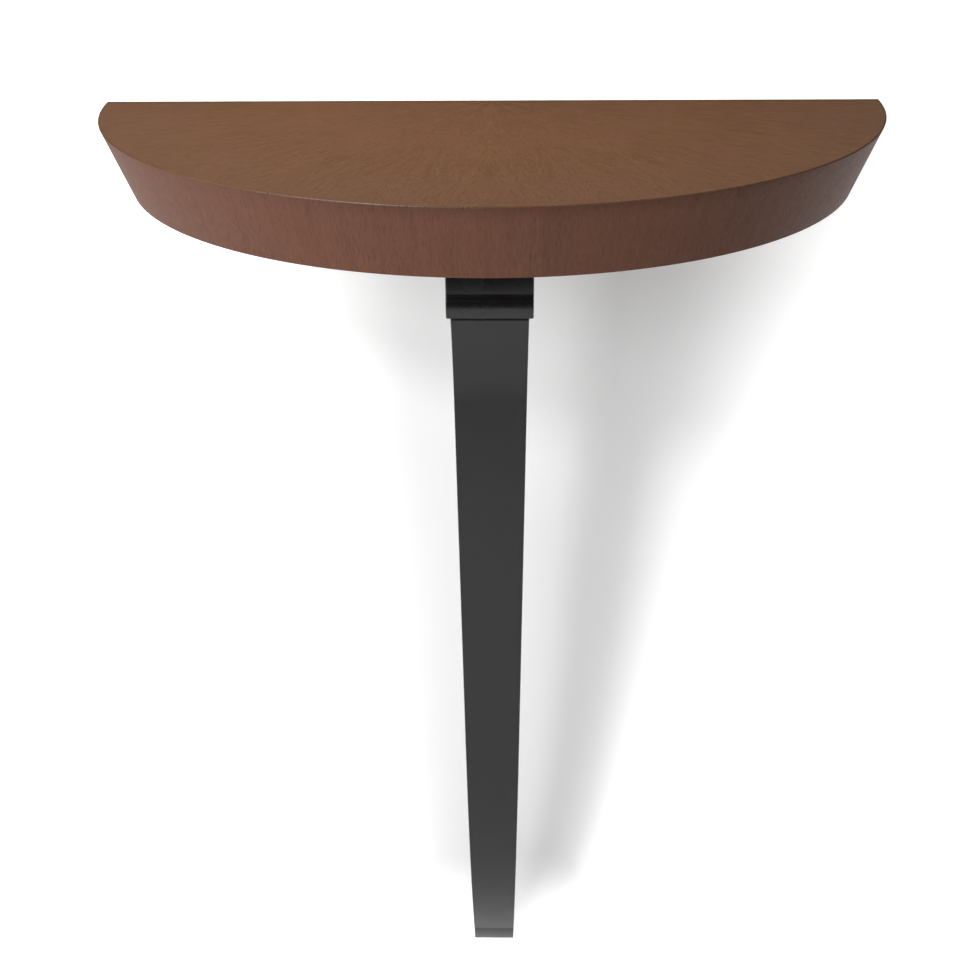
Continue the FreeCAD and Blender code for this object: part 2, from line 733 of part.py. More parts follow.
bore_radius = SIZES["bolt_radius"] + SIZES["insert_bore_play"]
insert = turned_blank([
    (bore_radius, 0),
    (SIZES["insert_radius"], 0),
    (SIZES["insert_radius"], SIZES["insert_length"]),
    (bore_radius, SIZES["insert_length"])])
subparts.append(grouped("leg_inserts", insert, insert_places))

doc.recompute()
for made in doc.Objects:
    if "Invalid" in made.State or "Error" in made.State:
        raise ValueError("%s failed: %s" % (made.Label, made.State))
os.makedirs("parts", exist_ok=True)
for made in subparts:
    if made.Shape.isNull() or not made.Shape.isValid():
        raise ValueError("%s has no valid shape" % made.Label)
for made in subparts:
    made.Shape.exportStep("parts/%s.step" % made.Label)
    print(made.Label, len(made.Shape.Solids), round(made.Shape.Volume))
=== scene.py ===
"""A half-round wall console table, dressed and lit as it hangs on a white wall.

Lengths are in metres, in the table's own frame: X to the right, Y into the wall, Z up, and the
origin on the wall between the cleat's two screw holes.
"""

import math

import bmesh
import bpy
from mathutils import Matrix, Vector


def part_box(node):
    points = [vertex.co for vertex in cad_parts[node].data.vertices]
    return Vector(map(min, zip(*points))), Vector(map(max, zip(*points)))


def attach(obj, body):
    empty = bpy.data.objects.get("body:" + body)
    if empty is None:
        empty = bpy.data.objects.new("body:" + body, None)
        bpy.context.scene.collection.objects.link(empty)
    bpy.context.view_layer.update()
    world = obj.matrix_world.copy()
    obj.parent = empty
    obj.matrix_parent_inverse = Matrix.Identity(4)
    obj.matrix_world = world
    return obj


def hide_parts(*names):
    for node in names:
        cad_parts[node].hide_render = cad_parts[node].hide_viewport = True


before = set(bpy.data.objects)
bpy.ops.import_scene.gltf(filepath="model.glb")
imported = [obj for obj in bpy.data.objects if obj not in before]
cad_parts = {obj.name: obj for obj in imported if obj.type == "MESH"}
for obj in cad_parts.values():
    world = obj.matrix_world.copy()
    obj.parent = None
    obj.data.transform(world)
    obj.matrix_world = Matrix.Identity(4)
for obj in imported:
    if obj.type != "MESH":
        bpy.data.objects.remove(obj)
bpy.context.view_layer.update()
scene = bpy.context.scene
scene.view_settings.view_transform = "Standard"


# Camera
# The picture is taken from just over head height of a seated person, a little right of the middle,
# looking down at the top with a lens of moderate length.
CAMERA_PLACE = (0.0120, -1.2974, 0.3267)
camera_data = bpy.data.cameras.new("camera")
camera_data.lens = 60.9
camera_data.sensor_width = 36.0
camera_data.shift_y = 0.05
camera = bpy.data.objects.new("camera", camera_data)
scene.collection.objects.link(camera)
scene.camera = camera
camera_pitch = math.radians(26.958)
camera_yaw = math.radians(-1.039)
camera_roll = math.radians(-0.426)
look = Vector((math.sin(camera_yaw) * math.cos(camera_pitch),
               math.cos(camera_yaw) * math.cos(camera_pitch),
               -math.sin(camera_pitch)))
level = Vector((math.cos(camera_yaw), -math.sin(camera_yaw), 0))
above = level.cross(look)
sideways = level * math.cos(camera_roll) + above * math.sin(camera_roll)
upwards = above * math.cos(camera_roll) - level * math.sin(camera_roll)
turned = Matrix((sideways, upwards, -look)).transposed().to_4x4()
camera.matrix_world = Matrix.Translation(CAMERA_PLACE) @ turned


# Top veneer
# Twelve thin leaves of a brown, fine-pored hardwood, cut as wedges and laid like a fan from the middle
# of the back edge. Each leaf is book-matched with the next, stained, and lacquered to a low satin.
MM = 0.001
TOP_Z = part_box("top_veneer_leaf_01")[1].z
UNDERSIDE_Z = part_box("edge_veneer_1")[0].z
TOP_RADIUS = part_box("top_veneer_leaf_01")[1].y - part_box("top_veneer_leaf_07")[0].y
LEAF_THICKNESS = 0.8 * MM
LEAF_COUNT = 12
LEAF_STEPS_PER_DEGREE = 2.0
BEVEL_INSET = 21.2 * MM
ARRIS_ROUNDING = 0.5 * MM
ARRIS_BORDER = 2.0 * MM
ROUNDING_STEPS = 6
CREASE_ANGLE = math.radians(35)
WELD_DISTANCE = 0.001 * MM


def edge_radius(height):
    """Radius of the bevelled edge at a height."""
    return TOP_RADIUS - (TOP_Z - height) * BEVEL_INSET / (TOP_Z - UNDERSIDE_Z)


def add(tree, kind, inputs=None, **settings):
    """Adds a node, sets its properties, and fills or links its inputs."""
    made = tree.nodes.new(kind)
    for name, value in settings.items():
        setattr(made, name, value)
    for socket, value in (inputs or {}).items():
        if isinstance(value, bpy.types.NodeSocket):
            tree.links.new(value, made.inputs[socket])
        else:
            made.inputs[socket].default_value = value
    return made


def linear(code):
    """An sRGB hex colour as linear red, green, blue and alpha."""
    shares = [int(code[place:place + 2], 16) / 255 for place in (0, 2, 4)]
    return [share / 12.92 if share <= 0.04045 else ((share + 0.055) / 1.055) ** 2.4
            for share in shares] + [1.0]


def new_material(name):
    """A material with its surface shader, ready for its nodes."""
    made = bpy.data.materials.new(name)
    made.use_nodes = True
    return made, made.node_tree, made.node_tree.nodes["Principled BSDF"]


def skin(name, rings, finish):
    """Joins rings of points into a skin with its two ends filled, and shades it smooth with crisp edges."""
    count = len(rings[0])
    points = [point for ring in rings for point in ring]
    faces = []
    for row in range(len(rings) - 1):
        for place in range(count):
            after = (place + 1) % count
            faces.append((row * count + place, row * count + after,
                          (row + 1) * count + after, (row + 1) * count + place))
    faces.append(tuple(range(count - 1, -1, -1)))
    faces.append(tuple((len(rings) - 1) * count + place for place in range(count)))
    mesh = bpy.data.meshes.new(name)
    mesh.from_pydata(points, [], faces)
    whole = bmesh.new()
    whole.from_mesh(mesh)
    bmesh.ops.remove_doubles(whole, verts=whole.verts, dist=WELD_DISTANCE)
    bmesh.ops.recalc_face_normals(whole, faces=whole.faces)
    whole.to_mesh(mesh)
    whole.free()
    mesh.shade_smooth()
    mesh.set_sharp_from_angle(angle=CREASE_ANGLE)
    mesh.materials.append(finish)
    made = bpy.data.objects.new(name, mesh)
    scene.collection.objects.link(made)
    weighted = made.modifiers.new("even_shading", "WEIGHTED_NORMAL")
    weighted.keep_sharp = True
    return made


def turned_sector(name, section, start, sweep, finish, steps_per_degree):
    """Turns a section of radius and height about the upright axis, between two angles in degrees."""
    steps = max(2, round(sweep * steps_per_degree))
    rings = []
    for step in range(steps + 1):
        angle = math.radians(start + sweep * step / steps)
        rings.append([(radius * math.cos(angle), radius * math.sin(angle), height)
                      for radius, height in section])
    return skin(name, rings, finish)


def lay_grain(piece, place_of, tone_and_shade_of):
    """Stores where each point of a sheet lay in the flitch, along and across the grain, and its tone and
    painted shade.
    """
    grain = piece.data.attributes.new("grain", "FLOAT_VECTOR", "POINT")
    for number, vertex in enumerate(piece.data.vertices):
        grain.data[number].vector = place_of(vertex.co)
    tone = piece.data.attributes.new("tone", "FLOAT", "POINT")
    for number, vertex in enumerate(piece.data.vertices):
        tone.data[number].value = tone_and_shade_of(vertex.co)


def between(value, marks):
    """A value read off a broken line, given as pairs of a place and a value."""
    for (first, low), (last, high) in zip(marks, marks[1:]):
        if value <= last:
            return low + (high - low) * min(1, max(0, (value - first) / (last - first)))
    return marks[-1][1]


def fit(piece, slot, *nodes):
    """Fixes a piece to the table in the place of the solids that it stands for."""
    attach(piece, "root")
    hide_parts(*nodes)


# How fast the figure changes with depth in the flitch, for the bands, the fibres, the pores and the
# clouds of warmer stain, and the size of those clouds.
BAND_CHANGE = 9.0
FIBRE_CHANGE = 17.0
PORE_CHANGE = 31.0
CLOUD_CHANGE = 5.0
CLOUD_SIZE = (90 * MM, 35 * MM)
COOL_TINT = (0.90, 0.96, 1.05, 1.0)
NO_TINT = (1.0, 1.0, 1.0, 1.0)


def veneer(name, pale, deep, warm, pore, pore_depth, band, fibre, pore_size, pore_relief,
           roughness, shine):
    """Stained veneer under lacquer: bands and fibres of tone along the grain, and short open pores.

    Each size is a length along the grain and a width across it.
    """
    made, tree, surface = new_material(name)
    grain = add(tree, "ShaderNodeAttribute", attribute_name="grain").outputs["Vector"]
    sheet_tone_and_shade = add(tree, "ShaderNodeAttribute", attribute_name="tone").outputs["Fac"]
    noises = []
    for size, change, detail in ((band, BAND_CHANGE, 3.0), (fibre, FIBRE_CHANGE, 2.0),
                                 (pore_size, PORE_CHANGE, 1.0), (CLOUD_SIZE, CLOUD_CHANGE, 2.0)):
        place = add(tree, "ShaderNodeVectorMath", {
            0: grain, 1: (1 / size[0], 1 / size[1], change)}, operation="MULTIPLY")
        noise = add(tree, "ShaderNodeTexNoise", {
            "Vector": place.outputs[0], "Scale": 1.0, "Detail": detail, "Roughness": 0.55})
        noises.append(noise.outputs["Fac"])
    bands, fibres, pores, clouds = noises
    tone = add(tree, "ShaderNodeMath", {0: fibres, 1: bands}, operation="ADD")
    deep_share = add(tree, "ShaderNodeMapRange", {
        "Value": tone.outputs[0], "From Min": 0.70, "From Max": 1.30})
    warm_share = add(tree, "ShaderNodeMapRange", {
        "Value": clouds, "From Min": 0.35, "From Max": 0.65, "To Max": 0.7})
    pore_share = add(tree, "ShaderNodeMapRange", {
        "Value": pores, "From Min": 0.52, "From Max": 0.75, "To Max": pore_depth})
    colour = linear(pale)
    for portion, stain in ((deep_share, deep), (warm_share, warm), (pore_share, pore)):
        colour = add(tree, "ShaderNodeMix", {
            0: portion.outputs[0], 6: colour, 7: linear(stain)}, data_type="RGBA").outputs[2]
    # The stored tone scales the colour. On these sheets it is mostly painted shade and sheen, with a real
    # step between some sheets.
    toned = add(tree, "ShaderNodeVectorMath", {0: colour, "Scale": sheet_tone_and_shade}, operation="SCALE")

    # The top's brown is a little cooler towards its rim.
    outwards = add(tree, "ShaderNodeSeparateXYZ", {"Vector": grain}).outputs["X"]
    cool_share = add(tree, "ShaderNodeMapRange", {
        "Value": outwards, "From Min": 0.15, "From Max": 0.28})
    tint = add(tree, "ShaderNodeMix", {
        0: cool_share.outputs[0], 6: NO_TINT, 7: COOL_TINT}, data_type="RGBA")
    toned = add(tree, "ShaderNodeVectorMath", {
        0: toned.outputs[0], 1: tint.outputs[2]}, operation="MULTIPLY")

    # Painted shade darkens the last few millimetres before the wall, where the top meets it.
    spot = add(tree, "ShaderNodeTexCoord").outputs["Object"]
    to_wall = add(tree, "ShaderNodeSeparateXYZ", {"Vector": spot}).outputs["Y"]
    wall_corner_shade = add(tree, "ShaderNodeMapRange", {
        "Value": to_wall, "From Min": -7 * MM, "From Max": -1 * MM, "To Min": 1.0, "To Max": 0.80})
    toned = add(tree, "ShaderNodeVectorMath", {
        0: toned.outputs[0], "Scale": wall_corner_shade.outputs[0]}, operation="SCALE")

    # The lacquer sinks into the open pores, which are duller than the wood between them.
    rough = add(tree, "ShaderNodeMapRange", {
        "Value": pores, "From Min": 0.4, "From Max": 0.7,
        "To Min": roughness, "To Max": roughness + 0.12})
    relief = add(tree, "ShaderNodeBump", {
        "Height": pores, "Strength": 0.3, "Distance": pore_relief}, invert=True)
    tree.links.new(toned.outputs[0], surface.inputs["Base Color"])
    tree.links.new(rough.outputs[0], surface.inputs["Roughness"])
    tree.links.new(relief.outputs[0], surface.inputs["Normal"])
    surface.inputs["Specular IOR Level"].default_value = shine
    return made


# The top is dead matt, so that its colour stays even and no lamp shows in it; only its arris, where it
# is rubbed, draws a thin pale line. Real pores, 0.2 mm wide, are too fine to show, so they are drawn
# 1.2 mm wide here and 0.8 mm wide on the edge.
TOP_BAND = (60 * MM, 7 * MM)
TOP_FIBRE = (14 * MM, 2.8 * MM)
TOP_PORE = (6 * MM, 1.2 * MM)
top_finish = veneer(
    "stained_sunburst_veneer_matt_lacquer", pale="76543A", deep="654731", warm="714F3B",
    pore="4A3325", pore_depth=0.30, band=TOP_BAND, fibre=TOP_FIBRE, pore_size=TOP_PORE,
    pore_relief=0.06 * MM, roughness=0.50, shine=0.002)
# The arris's finish is glossier than the top's. Its colours are darker, which paints shade on the rounding.
arris_gloss_and_shade_finish = veneer(
    "rubbed_arris_gloss_lacquer_painted_shade", pale="65482F", deep="573C29", warm="614433",
    pore="3F2B20", pore_depth=0.30, band=TOP_BAND, fibre=TOP_FIBRE, pore_size=TOP_PORE,
    pore_relief=0.06 * MM, roughness=0.26, shine=0.5)
leaf_low_z = TOP_Z - LEAF_THICKNESS
slope = math.atan2(BEVEL_INSET, TOP_Z - UNDERSIDE_Z)
arris_turn = math.pi / 2 + slope
arris_setback = ARRIS_ROUNDING * math.tan(arris_turn / 2)
rounding_centre = (TOP_RADIUS - arris_setback, TOP_Z - ARRIS_ROUNDING)
leaf_section = [(0, leaf_low_z), (edge_radius(leaf_low_z), leaf_low_z)]
for step in range(ROUNDING_STEPS + 1):
    angle = -slope + arris_turn * step / ROUNDING_STEPS
    leaf_section.append((rounding_centre[0] + ARRIS_ROUNDING * math.cos(angle),
                         rounding_centre[1] + ARRIS_ROUNDING * math.sin(angle)))
leaf_section.append((TOP_RADIUS - ARRIS_BORDER, TOP_Z))
leaf_section += [(TOP_RADIUS * share, TOP_Z) for share in (0.66, 0.33, 0)]
# Each pair is a share of the way round from left to right, and the arris's painted shade there, darkest on
# the right, away from the lamps.
ARRIS_PAINTED_SHADE = ((0, 0.80), (0.22, 0.85), (0.28, 1.0), (0.42, 0.95), (0.50, 0.70), (1, 0.62))


def arris_painted_shade(point):
    """Painted shade on the top: none on the flat, and darker on the eased arris, most of all on the right.
    """
    if math.hypot(point.x, point.y) < TOP_RADIUS - ARRIS_BORDER / 2:
        return 1.0
    return between(math.atan2(-point.y, -point.x) / math.pi, ARRIS_PAINTED_SHADE)


# Leaves come one after the other out of the flitch, so the figure drifts a little from each to the
# next, and every second leaf is turned over.
LEAF_DRIFT = 0.002
LEAF_SHADE_STEP = 0.006
RUBBED_LEAVES = (4, 5)
LEVEL_NORMAL = 0.98
leaf_sweep = 180 / LEAF_COUNT
for number in range(LEAF_COUNT):
    start = 180 + leaf_sweep * number
    leaf = turned_sector("leaf_%02d" % (number + 1), leaf_section, start, leaf_sweep, top_finish,
                         LEAF_STEPS_PER_DEGREE)
    middle = math.radians(start + leaf_sweep / 2)
    hand = 1 if number % 2 else -1
    # Each leaf is painted a step darker than the one on its left, a painted shade of the light falling off
    # to the right. Every second leaf is painted a step lighter, a painted sheen of its turned grain.
    leaf_painted_shade = 1.05 - LEAF_SHADE_STEP * number + LEAF_SHADE_STEP * hand
    lay_grain(leaf, lambda point: (
        point.x * math.cos(middle) + point.y * math.sin(middle),
        hand * (point.y * math.cos(middle) - point.x * math.sin(middle)),
        number * LEAF_DRIFT), lambda point: arris_painted_shade(point) * leaf_painted_shade)
    # The arris is rubbed to a gloss where it is most handled, left of the middle. Its faces lie between
    # the leaf's level top and underside.
    if number in RUBBED_LEAVES:
        leaf.data.materials.append(arris_gloss_and_shade_finish)
        for face in leaf.data.polygons:
            below_the_top = leaf_low_z < face.center.z < TOP_Z - 0.01 * MM
            face.material_index = int(below_the_top and abs(face.normal.z) < LEVEL_NORMAL)
    fit(leaf, "top_veneer", "top_veneer_leaf_%02d" % (number + 1))


# Edge veneer
# Four sheets of the same wood wrap the bevelled edge with their grain upright, and meet in hairline
# joints. They are stained a shade redder than the top and rubbed round at the lower rim.
RIM_ROUNDING = 0.6 * MM
SHEET_THICKNESS = 0.8 * MM
SHEET_DRIFT = 0.05
SHEET_STEPS_PER_DEGREE = 1.5
JOINT_SHARES = (0, 0.276, 0.537, 0.798, 1)
# Its satin lacquer gives the ends a soft bluish sheen, and the open pores a fine upright texture.
edge_finish = veneer(
    "stained_edge_veneer_satin_lacquer", pale="704C3D", deep="614134", warm="6E4838",
    pore="3A251C", pore_depth=0.26, band=(140 * MM, 6 * MM), fibre=(8 * MM, 1.6 * MM),
    pore_size=(5 * MM, 0.8 * MM), pore_relief=0.40 * MM, roughness=0.46, shine=0.12)
edge_section = [(edge_radius(leaf_low_z) - SHEET_THICKNESS, leaf_low_z),
                (edge_radius(UNDERSIDE_Z) - SHEET_THICKNESS, UNDERSIDE_Z)]
rim_turn = math.pi / 2 - slope
rim_setback = RIM_ROUNDING * math.tan(rim_turn / 2)
rim_centre = (edge_radius(UNDERSIDE_Z) - rim_setback, UNDERSIDE_Z + RIM_ROUNDING)
for step in range(ROUNDING_STEPS + 1):
    angle = -math.pi / 2 + rim_turn * step / ROUNDING_STEPS
    edge_section.append((rim_centre[0] + RIM_ROUNDING * math.cos(angle),
                         rim_centre[1] + RIM_ROUNDING * math.sin(angle)))
# Rings stand close together under the arris, where the painted shade changes fast.
edge_section += [(edge_radius(leaf_low_z - below * MM), leaf_low_z - below * MM)
                 for below in (35, 20, 11, 8, 6, 4, 2.5, 1, 0)]
# Each pair is a share of the way round and a tone. It is painted light and shade, brighter on the left and
# darker to the right as the light falls off, with a real step darker where the third sheet begins.
EDGE_TONE_AND_SHADE = ((0, 1.16), (0.14, 1.10), (0.24, 0.99), (0.30, 0.95), (0.537, 0.86), (0.55, 0.82),
              (0.8, 0.78), (1, 0.86))
UNDER_ARRIS_SHADE = ((0.20, 0.94), (0.36, 0.90), (0.50, 0.72), (0.60, 0.72), (0.80, 0.78))
SHADE_HALF_DEPTH = 4 * MM
SHADE_FADE_DEPTH = 11 * MM


def edge_tone_and_shade(point):
    """Tone and painted shade round the edge, with more painted shade under the arris that fades out
    downwards.
    """
    along = math.atan2(-point.y, -point.x) / math.pi
    under = between(along, UNDER_ARRIS_SHADE)
    fade = ((0, under), (SHADE_HALF_DEPTH, (1 + under) / 2), (SHADE_FADE_DEPTH, 1.0))
    return between(along, EDGE_TONE_AND_SHADE) * between(leaf_low_z - point.z, fade)


for number, share in enumerate(JOINT_SHARES[:-1]):
    sweep = 180 * (JOINT_SHARES[number + 1] - share)
    sheet = turned_sector("edge_sheet_%d" % (number + 1), edge_section, 180 + 180 * share, sweep,
                          edge_finish, SHEET_STEPS_PER_DEGREE)
    lay_grain(sheet, lambda point: (
        point.z, TOP_RADIUS * math.atan2(-point.y, -point.x), number * SHEET_DRIFT), edge_tone_and_shade)
    fit(sheet, "edge_veneer", "edge_veneer_%d" % (number + 1))


# Box of the top
# A core board, a sawn apron of six segments and a bottom board make the hollow box under the veneer,
# with softwood rails, ribs and blocks glued inside. What shows from below has a wash of brown stain.
def dress(node, finish):
    """Gives a finish to a solid that shows as it is."""
    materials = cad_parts[node].data.materials
    materials.clear()
    materials.append(finish)


# The board is dull and finely flecked with its fibres, which are drawn coarser, 1.1 mm across. The
# stain was wiped on, and shows in clouds some 70 mm across.
board, tree, surface = new_material("stained_fibreboard")
place = add(tree, "ShaderNodeTexCoord").outputs["Object"]
fibres = add(tree, "ShaderNodeTexNoise", {"Vector": place, "Scale": 1 / (1.111 * MM), "Detail": 3.0})
wash = add(tree, "ShaderNodeTexNoise", {"Vector": place, "Scale": 1 / (71.43 * MM), "Detail": 2.0})
both = add(tree, "ShaderNodeMath", {
    0: fibres.outputs["Fac"], 1: wash.outputs["Fac"]}, operation="ADD")
share = add(tree, "ShaderNodeMapRange", {
    "Value": both.outputs[0], "From Min": 0.7, "From Max": 1.3})
colour = add(tree, "ShaderNodeMix", {
    0: share.outputs[0], 6: linear("5E4332"), 7: linear("4A3325")}, data_type="RGBA")
tree.links.new(colour.outputs[2], surface.inputs["Base Color"])
surface.inputs["Roughness"].default_value = 0.75

RING_LENGTH = 83.33 * MM
RING_WIDTH = 6.25 * MM


def planed_softwood(name, pale, deep):
    """Planed softwood: dull, with the soft stripes of its year rings running along the piece."""
    made, tree, surface = new_material(name)
    place = add(tree, "ShaderNodeTexCoord").outputs["Object"]
    stretched = add(tree, "ShaderNodeVectorMath", {
        0: place, 1: (1 / RING_LENGTH, 1 / RING_WIDTH, 1 / RING_WIDTH)}, operation="MULTIPLY")
    rings = add(tree, "ShaderNodeTexNoise", {
        "Vector": stretched.outputs[0], "Scale": 1.0, "Detail": 3.0})
    share = add(tree, "ShaderNodeMapRange", {
        "Value": rings.outputs["Fac"], "From Min": 0.35, "From Max": 0.65})
    colour = add(tree, "ShaderNodeMix", {
        0: share.outputs[0], 6: linear(pale), 7: linear(deep)}, data_type="RGBA")
    tree.links.new(colour.outputs[2], surface.inputs["Base Color"])
    surface.inputs["Roughness"].default_value = 0.65
    return made


bare_softwood = planed_softwood("planed_softwood", "C9A57A", "AD8458")
stained_softwood = planed_softwood("brown_stained_softwood", "6B4A38", "50372A")
BARE_PIECES = ("rib", "corner", "back_rail", "leg_block", "hanging_rail", "wall_cleat")
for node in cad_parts:
    if node in ("top_panel", "bottom_panel"):
        dress(node, board)
    elif node.startswith("apron"):
        dress(node, stained_softwood)
    elif node.startswith(BARE_PIECES):
        dress(node, bare_softwood)


# Cap
# A hardwood block moulded across its width: a plain band that falls away in a slow round to a hollow,
# and a bead whose underside is rounded back to the leg. It is sealed and sprayed with black satin
# lacquer, and its upright corners are eased with sandpaper.

# The lacquer mirrors the floor in soft bands, faintly broken by its peel, 1.4 mm across, and by a haze.
black_lacquer, tree, surface = new_material("black_satin_lacquer")
place = add(tree, "ShaderNodeTexCoord").outputs["Object"]
peel = add(tree, "ShaderNodeTexNoise", {"Vector": place, "Scale": 1 / (1.429 * MM), "Detail": 2.0})
relief = add(tree, "ShaderNodeBump", {
    "Height": peel.outputs["Fac"], "Strength": 0.15, "Distance": 0.02 * MM})
haze = add(tree, "ShaderNodeTexNoise", {"Vector": place, "Scale": 1 / (16.67 * MM), "Detail": 3.0})
rough = add(tree, "ShaderNodeMapRange", {
    "Value": haze.outputs["Fac"], "To Min": 0.22, "To Max": 0.32})
tree.links.new(relief.outputs[0], surface.inputs["Normal"])
tree.links.new(rough.outputs[0], surface.inputs["Roughness"])
surface.inputs["Base Color"].default_value = linear("070707")

cap_low, cap_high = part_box("leg_cap")
CAP_BAND = 23.0 * MM
CAP_FALL_DEPTH = 1.7 * MM
CAP_COVE_RADIUS = 4.0 * MM
CAP_BEAD_RADIUS = 7.0 * MM
CAP_BEAD_HEIGHT = 12.8 * MM
CAP_UNDER_RADIUS = 22.0 * MM
CAP_CORNER_EASING = 1.2 * MM
front = cap_low.y
band_z = cap_high.z - CAP_BAND
bead_z = cap_low.z + CAP_BEAD_HEIGHT


def arc(centre, radius, first, last, steps):
    """Points of Y and Z along an arc, both ends included, with angles in radians."""
    return [(centre[0] + radius * math.cos(first + (last - first) * step / steps),
             centre[1] + radius * math.sin(first + (last - first) * step / steps))
            for step in range(steps + 1)]


def fall_for(tilt):
    """Height and depth of the slow round above a cove that turns from a tilt, and the cove's last turn."""
    forward = CAP_COVE_RADIUS * math.cos(tilt) + CAP_BEAD_RADIUS - CAP_FALL_DEPTH
    turn = math.acos(forward / (CAP_COVE_RADIUS + CAP_BEAD_RADIUS))
    below = CAP_COVE_RADIUS * (math.sin(turn) + math.sin(tilt)) + CAP_BEAD_RADIUS * math.sin(turn)
    return band_z - bead_z - below, turn


# The slow round's last tilt and its height depend on each other, so a few rounds settle both.
fall_tilt = 0.0
for _ in range(12):
    fall_height, cove_turn = fall_for(fall_tilt)
    fall_tilt = 2 * math.atan(CAP_FALL_DEPTH / fall_height)
fall_radius = fall_height / math.sin(fall_tilt)
cove_centre = (front + CAP_FALL_DEPTH - CAP_COVE_RADIUS * math.cos(fall_tilt),
               band_z - fall_height - CAP_COVE_RADIUS * math.sin(fall_tilt))
profile = [(cap_high.y, cap_high.z), (front, cap_high.z)]
profile += arc((front + fall_radius, band_z), fall_radius, math.pi, math.pi + fall_tilt, 12)
profile += arc(cove_centre, CAP_COVE_RADIUS, fall_tilt, -cove_turn, 8)[1:]
profile += arc((front + CAP_BEAD_RADIUS, bead_z), CAP_BEAD_RADIUS, math.pi - cove_turn, math.pi, 8)[1:]
profile += arc((front + CAP_UNDER_RADIUS, bead_z), CAP_UNDER_RADIUS, math.pi,
               math.pi + math.asin(CAP_BEAD_HEIGHT / CAP_UNDER_RADIUS), 10)[1:]
profile += [(cap_high.y, cap_low.z)]


def inset(outline, depth):
    """The outline moved in by a depth, along the mean of its two sides at each point."""
    moved = []
    for number, (y, z) in enumerate(outline):
        before = Vector(outline[number - 1])
        after = Vector(outline[(number + 1) % len(outline)])
        here = Vector((y, z))
        first = (here - before).normalized()
        second = (after - here).normalized()
        inwards = Vector((-first.y, first.x)) + Vector((-second.y, second.x))
        # At a very sharp corner the point is held back, so that it doesn't fly off.
        inwards /= max(1 + first.dot(second), 0.4)
        moved.append((y + inwards.x * depth, z + inwards.y * depth))
    return moved


def soften(piece, name, width, sharpest):
    """Rounds edges that turn by more than an angle in degrees, before the shading is evened out."""
    rub = piece.modifiers.new(name, "BEVEL")
    rub.width = width
    rub.segments = 2
    rub.limit_method = "ANGLE"
    rub.angle_limit = math.radians(sharpest)
    piece.modifiers.move(1, 0)


half_width = cap_high.x
easing = []
for step in range(ROUNDING_STEPS + 1):
    turn = math.pi / 2 * step / ROUNDING_STEPS
    easing.append((CAP_CORNER_EASING * (1 - math.sin(turn)), CAP_CORNER_EASING * (1 - math.cos(turn))))
stations = [(aside - half_width, depth) for aside, depth in reversed(easing)]
stations += [(half_width - aside, depth) for aside, depth in easing]
cap_rings = [[(x, y, z) for y, z in inset(profile, depth)] for x, depth in stations]
cap = skin("cap", cap_rings, black_lacquer)
soften(cap, "sanded_edges", 0.3 * MM, 40)
fit(cap, "cap_lacquer", "leg_cap")


# Leg
# One strap of 6 mm steel, sheared to an even taper. A flange is welded to its head and the corner ground
# crisp; below it the strap flares, runs straight and sweeps back to a thicker toe with a hollow lip.

# Its satin black powder coat softens every edge and mirrors the floor as a broad grey sheen, faintly
# broken by orange peel, 1.1 mm across.
powder_coat, tree, surface = new_material("black_satin_powder_coat")
place = add(tree, "ShaderNodeTexCoord").outputs["Object"]
peel = add(tree, "ShaderNodeTexNoise", {"Vector": place, "Scale": 1 / (1.111 * MM), "Detail": 1.0})
relief = add(tree, "ShaderNodeBump", {
    "Height": peel.outputs["Fac"], "Strength": 0.2, "Distance": 0.03 * MM})
haze = add(tree, "ShaderNodeTexNoise", {"Vector": place, "Scale": 1 / (28.57 * MM), "Detail": 4.0})
rough = add(tree, "ShaderNodeMapRange", {
    "Value": haze.outputs["Fac"], "To Min": 0.30, "To Max": 0.38})
tree.links.new(relief.outputs[0], surface.inputs["Normal"])
tree.links.new(rough.outputs[0], surface.inputs["Roughness"])
surface.inputs["Base Color"].default_value = linear("090909")

LEG_THICKNESS = 6.0 * MM
LEG_ROUNDING = 0.8 * MM
LEG_FLANGE = 62.0 * MM
LEG_CORNER_BEHIND = 4.5 * MM
LEG_CORNER_ROUND = 1.5 * MM
LEG_INSIDE_ROUND = 3.0 * MM
LEG_NECK = 6.0 * MM
LEG_TOP_LEAN = math.radians(24)
LEG_FLARE_RADIUS = 200.0 * MM
LEG_MIDDLE_LEAN = math.radians(7)
LEG_STRAIGHT = 340.0 * MM
LEG_FOOT_BEND = 4.0 * MM
LEG_TONGUE = 12.0 * MM
LEG_TOP_WIDTH = 57.0 * MM
LEG_FOOT_WIDTH = 39.0 * MM
LIP_HEIGHT = 23.5 * MM
LIP_FIRST_LEAN = math.radians(22.0)
LIP_LAST_LEAN = math.radians(34.0)
STRAP_CORNER_STEPS = 4
leg_low, leg_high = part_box("leg")


def walked(place, heading, stages):
    """Follows straight stretches and bends, and gives places with headings along the way.

    Each stage is a length, or a radius and a turn, and the number of steps that it is drawn in.
    """
    way = [(place, heading)]
    for length, radius, turn, steps in stages:
        if not turn:
            ahead = Vector((math.cos(heading), math.sin(heading)))
            way += [(place + ahead * length * step / steps, heading) for step in range(1, steps + 1)]
            place = way[-1][0]
            continue
        side = math.copysign(math.pi / 2, turn)
        centre = place + Vector((math.cos(heading + side), math.sin(heading + side))) * radius
        for step in range(1, steps + 1):
            now = heading + turn * step / steps
            way.append((centre + Vector((math.cos(now - side), math.sin(now - side))) * radius, now))
        place, heading = way[-1]
    return way


